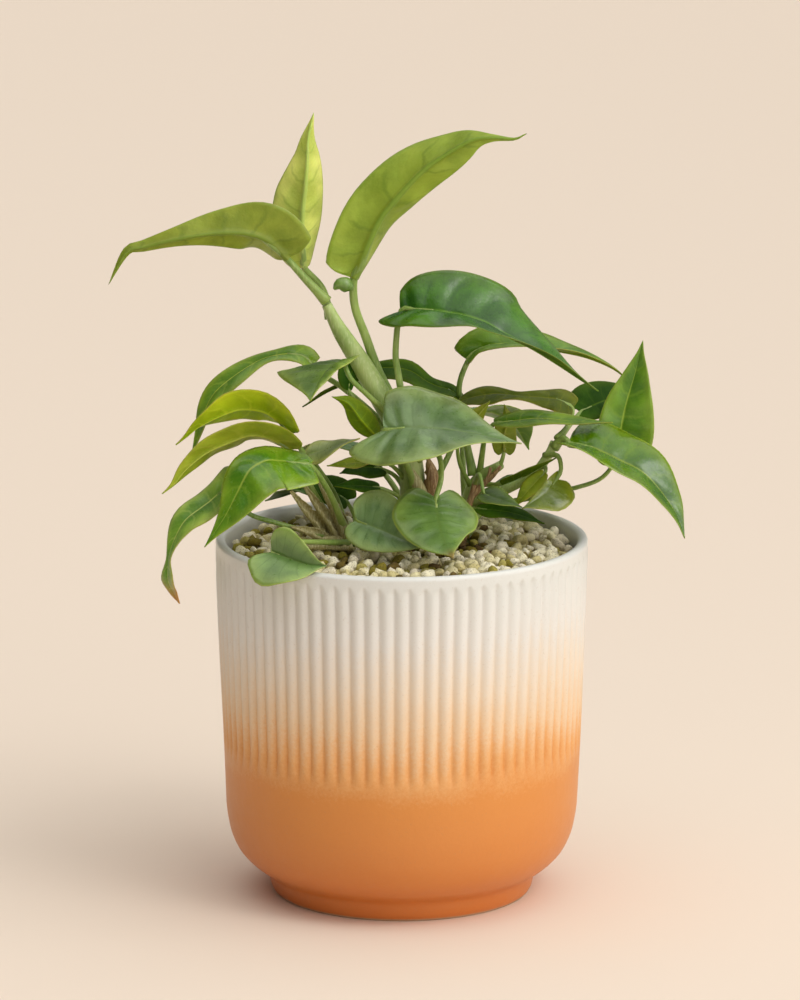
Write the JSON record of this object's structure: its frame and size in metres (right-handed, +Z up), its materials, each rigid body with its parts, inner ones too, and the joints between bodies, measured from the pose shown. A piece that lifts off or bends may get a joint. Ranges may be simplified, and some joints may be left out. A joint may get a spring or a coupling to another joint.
{
  "type": "potted house plant",
  "caption": "Young aroid house plant with pointed heart-shaped leaves on long stalks, in a fluted two-tone ceramic pot topped with pale pumice.",
  "frame": {"origin": "on the pot's axis, in the plane of the foot that stands on the table", "axes": "+Z up along the axis of the pot, +X to the right of a viewer in front, -Y towards that viewer"},
  "size_m": [0.184, 0.12, 0.2526],
  "materials": {
    "pot_glaze": "satin reactive glaze, warm off-white above, fading to burnt orange at the bowl",
    "soil": "matte dark bark and coir potting mix",
    "pumice": "matte cream and grey-beige grains, some mossy green",
    "stem": "smooth light green stems with papery brown sheaths",
    "leaf_pale": "matte yellow-green leaf underside with visible veins",
    "leaf_deep": "glossy deep green leaf",
    "leaf_green": "half-gloss mid-green leaf",
    "leaf_bright": "glossy bright green leaf",
    "leaf_grey_green": "soft grey-green leaf with a silvery sheen",
    "leaf_olive": "olive to yellow-green leaf"
  },
  "bodies": {
    "root": {"pot": "pot_glaze", "potting_mix": "soil", "pumice_topdressing": "pumice", "shoot_left": "stem", "shoot_centre": "stem", "shoot_right": "stem", "leaf_tall_left": "leaf_pale", "leaf_tall_upright": "leaf_pale", "leaf_tall_right": "leaf_pale", "leaf_glossy_high": "leaf_deep", "leaf_behind_high": "leaf_green", "leaf_dark_arch": "leaf_deep", "leaf_right_olive": "leaf_olive", "leaf_right_upright": "leaf_green", "leaf_glossy_right": "leaf_bright", "leaf_narrow_right": "leaf_green", "leaf_centre_heart": "leaf_grey_green", "leaf_small_back_right": "leaf_olive", "leaf_left_upright_dark": "leaf_deep", "leaf_left_grey_tip": "leaf_grey_green", "leaf_left_thin_dark": "leaf_deep", "leaf_young_yellow": "leaf_olive", "leaf_arching_left": "leaf_green", "leaf_olive_left": "leaf_olive", "leaf_yellow_left": "leaf_olive", "leaf_glossy_left": "leaf_bright", "leaf_twisted_left": "leaf_green", "leaf_grey_left": "leaf_grey_green", "leaf_tip_inner_left": "leaf_olive", "leaf_inner_dark": "leaf_deep", "leaf_inner_low": "leaf_deep", "leaf_inner_back_left": "leaf_deep", "leaf_over_rim": "leaf_grey_green", "leaf_front_heart_left": "leaf_grey_green", "leaf_front_heart_right": "leaf_grey_green", "leaf_small_grey_right": "leaf_grey_green", "leaf_low_dark_right": "leaf_deep", "leaf_folded_right": "leaf_grey_green", "leaf_shaded_right": "leaf_deep", "leaf_blade_edge_right": "leaf_deep", "leaf_olive_low_right": "leaf_olive", "leaf_tip_inner_right": "leaf_olive", "leaf_back_left": "leaf_green", "leaf_back_middle": "leaf_deep", "leaf_back_right": "leaf_bright", "leaf_back_low_right": "leaf_green", "leaf_back_low_left": "leaf_deep"}
  },
  "joints": []
}
